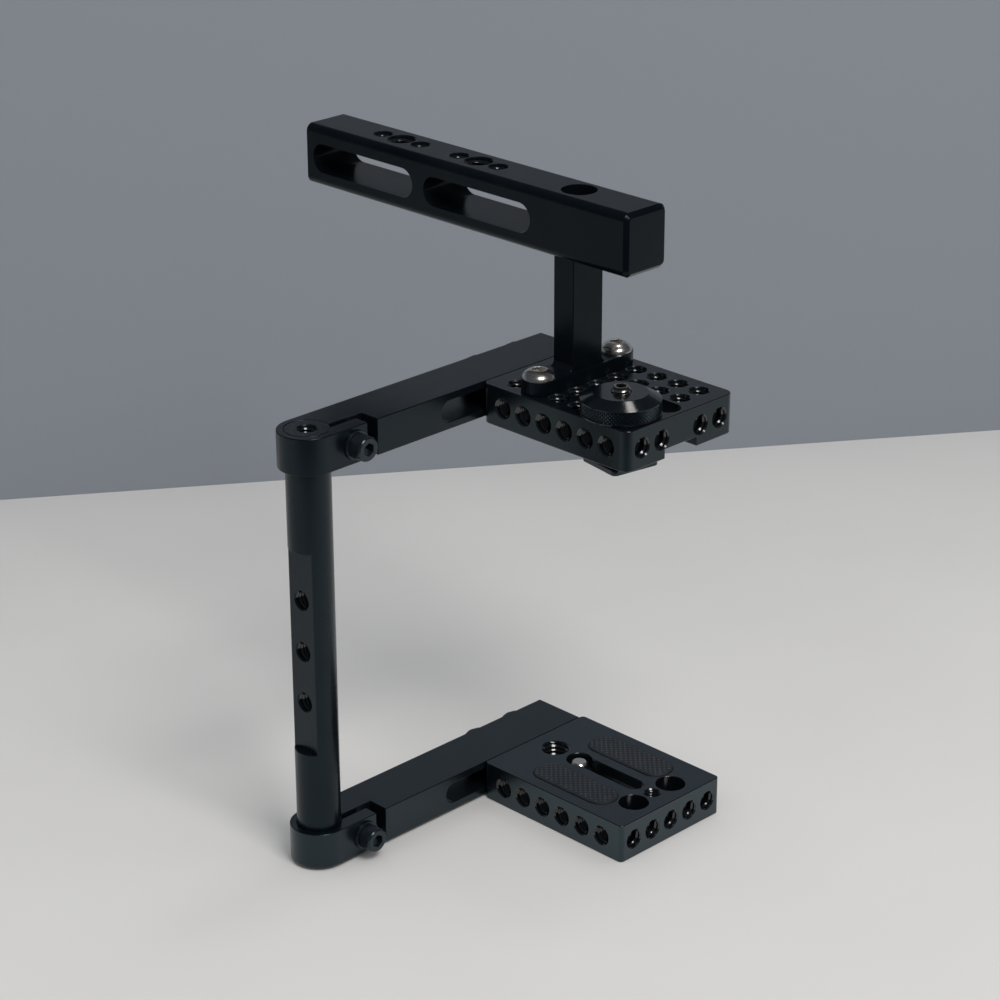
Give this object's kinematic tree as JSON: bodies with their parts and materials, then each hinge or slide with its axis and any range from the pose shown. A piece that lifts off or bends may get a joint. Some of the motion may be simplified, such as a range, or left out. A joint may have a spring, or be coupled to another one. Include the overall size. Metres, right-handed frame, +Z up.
{
  "type": "camera cage",
  "caption": "Open camera cage: slotted arms on a round side rod carry a base plate with a camera screw and a drilled top plate with a shoe adapter and a slotted top handle.",
  "frame": {"origin": "on the side rod's axis, at the surface that the cage stands on", "axes": "+X along the arms to the plates, +Y to the handle's far end, +Z up along the rod"},
  "size_m": [0.1305, 0.1708, 0.2219],
  "materials": {
    "anodised": "satin black anodised",
    "black_steel": "black oxide",
    "bright_steel": "bright",
    "pad_rubber": "matt, knurled"
  },
  "bodies": {
    "base": {"base_plate": "anodised", "base_pad_left": "pad_rubber", "base_pad_right": "pad_rubber", "lower_slide_washers": "black_steel"},
    "lower_arm": {"lower_arm": "anodised", "lower_clamp_washer": "black_steel"},
    "rod": {"side_rod": "anodised"},
    "upper_arm": {"upper_arm": "anodised", "upper_clamp_washer": "black_steel"},
    "top": {"top_plate": "anodised", "upper_slide_washers": "black_steel", "handle_post": "anodised", "handle_bar": "anodised", "handle_bolt": "bright_steel", "handle_foot_screws": "bright_steel"},
    "screw_retainer": {"camera_screw_retainer": "black_steel"},
    "camera_screw": {"camera_screw": "bright_steel"},
    "knob": {"shoe_knob": "anodised"},
    "stud": {"shoe_stud": "black_steel"},
    "shoe_foot": {"shoe_foot": "black_steel"},
    "lower_clamp_screw": {"lower_clamp_screw": "black_steel"},
    "upper_clamp_screw": {"upper_clamp_screw": "black_steel"},
    "lower_inner_screw": {"lower_slide_screw_inner": "black_steel"},
    "lower_outer_screw": {"lower_slide_screw_outer": "black_steel"},
    "upper_inner_screw": {"upper_slide_screw_inner": "black_steel"},
    "upper_outer_screw": {"upper_slide_screw_outer": "black_steel"}
  },
  "joints": [
    {"name": "base_arm_slide", "type": "slide", "parent": "base", "child": "lower_arm", "axis": [1, 0, 0], "range_m": [0, 0.031]},
    {"name": "rod_swing", "type": "hinge", "parent": "lower_arm", "child": "rod", "pos_m": [0, 0, 0], "axis": [0, 0, 1], "continuous": true},
    {"name": "height_slide", "type": "slide", "parent": "rod", "child": "upper_arm", "axis": [0, 0, 1], "range_m": [-0.07, 0]},
    {"name": "top_plate_slide", "type": "slide", "parent": "upper_arm", "child": "top", "axis": [1, 0, 0], "range_m": [-0.0317, 0]},
    {"name": "camera_screw_slide", "type": "slide", "parent": "base", "child": "screw_retainer", "axis": [0, 1, 0], "range_m": [-0.026, 0]},
    {"name": "camera_screw_lift", "type": "slide", "parent": "screw_retainer", "child": "camera_screw", "axis": [0, 0, 1], "range_m": [0, 0.0055]},
    {"name": "shoe_knob_turn", "type": "hinge", "parent": "top", "child": "knob", "pos_m": [0.08046, -0.06197, 0.157], "axis": [0, 0, 1], "range_deg": [0, 720]},
    {"name": "shoe_stud_drop", "type": "slide", "parent": "top", "child": "stud", "axis": [0, 0, 1], "range_m": [-0.00256, 0]},
    {"name": "shoe_foot_swivel", "type": "hinge", "parent": "stud", "child": "shoe_foot", "pos_m": [0.08046, -0.06197, 0.14], "axis": [0, 0, 1], "continuous": true},
    {"name": "lower_clamp_turn", "type": "hinge", "parent": "lower_arm", "child": "lower_clamp_screw", "pos_m": [0.012, -0.0111, 0.00765], "axis": [0, -1, 0], "range_deg": [0, 360]},
    {"name": "upper_clamp_turn", "type": "hinge", "parent": "upper_arm", "child": "upper_clamp_screw", "pos_m": [0.012, -0.0111, 0.15065], "axis": [0, -1, 0], "range_deg": [0, 360]},
    {"name": "lower_inner_screw_turn", "type": "hinge", "parent": "base", "child": "lower_inner_screw", "pos_m": [0.08444, 0.0111, 0.00765], "axis": [0, 1, 0], "range_deg": [0, 360]},
    {"name": "lower_outer_screw_turn", "type": "hinge", "parent": "base", "child": "lower_outer_screw", "pos_m": [0.10316, 0.0111, 0.00765], "axis": [0, 1, 0], "range_deg": [0, 360]},
    {"name": "upper_inner_screw_turn", "type": "hinge", "parent": "top", "child": "upper_inner_screw", "pos_m": [0.08514, 0.0111, 0.15065], "axis": [0, 1, 0], "range_deg": [0, 360]},
    {"name": "upper_outer_screw_turn", "type": "hinge", "parent": "top", "child": "upper_outer_screw", "pos_m": [0.10386, 0.0111, 0.15065], "axis": [0, 1, 0], "range_deg": [0, 360]}
  ],
  "couplings": [
    {"joint": "shoe_stud_drop", "follows": "shoe_knob_turn", "m_per_rad": -0.00020213}
  ]
}
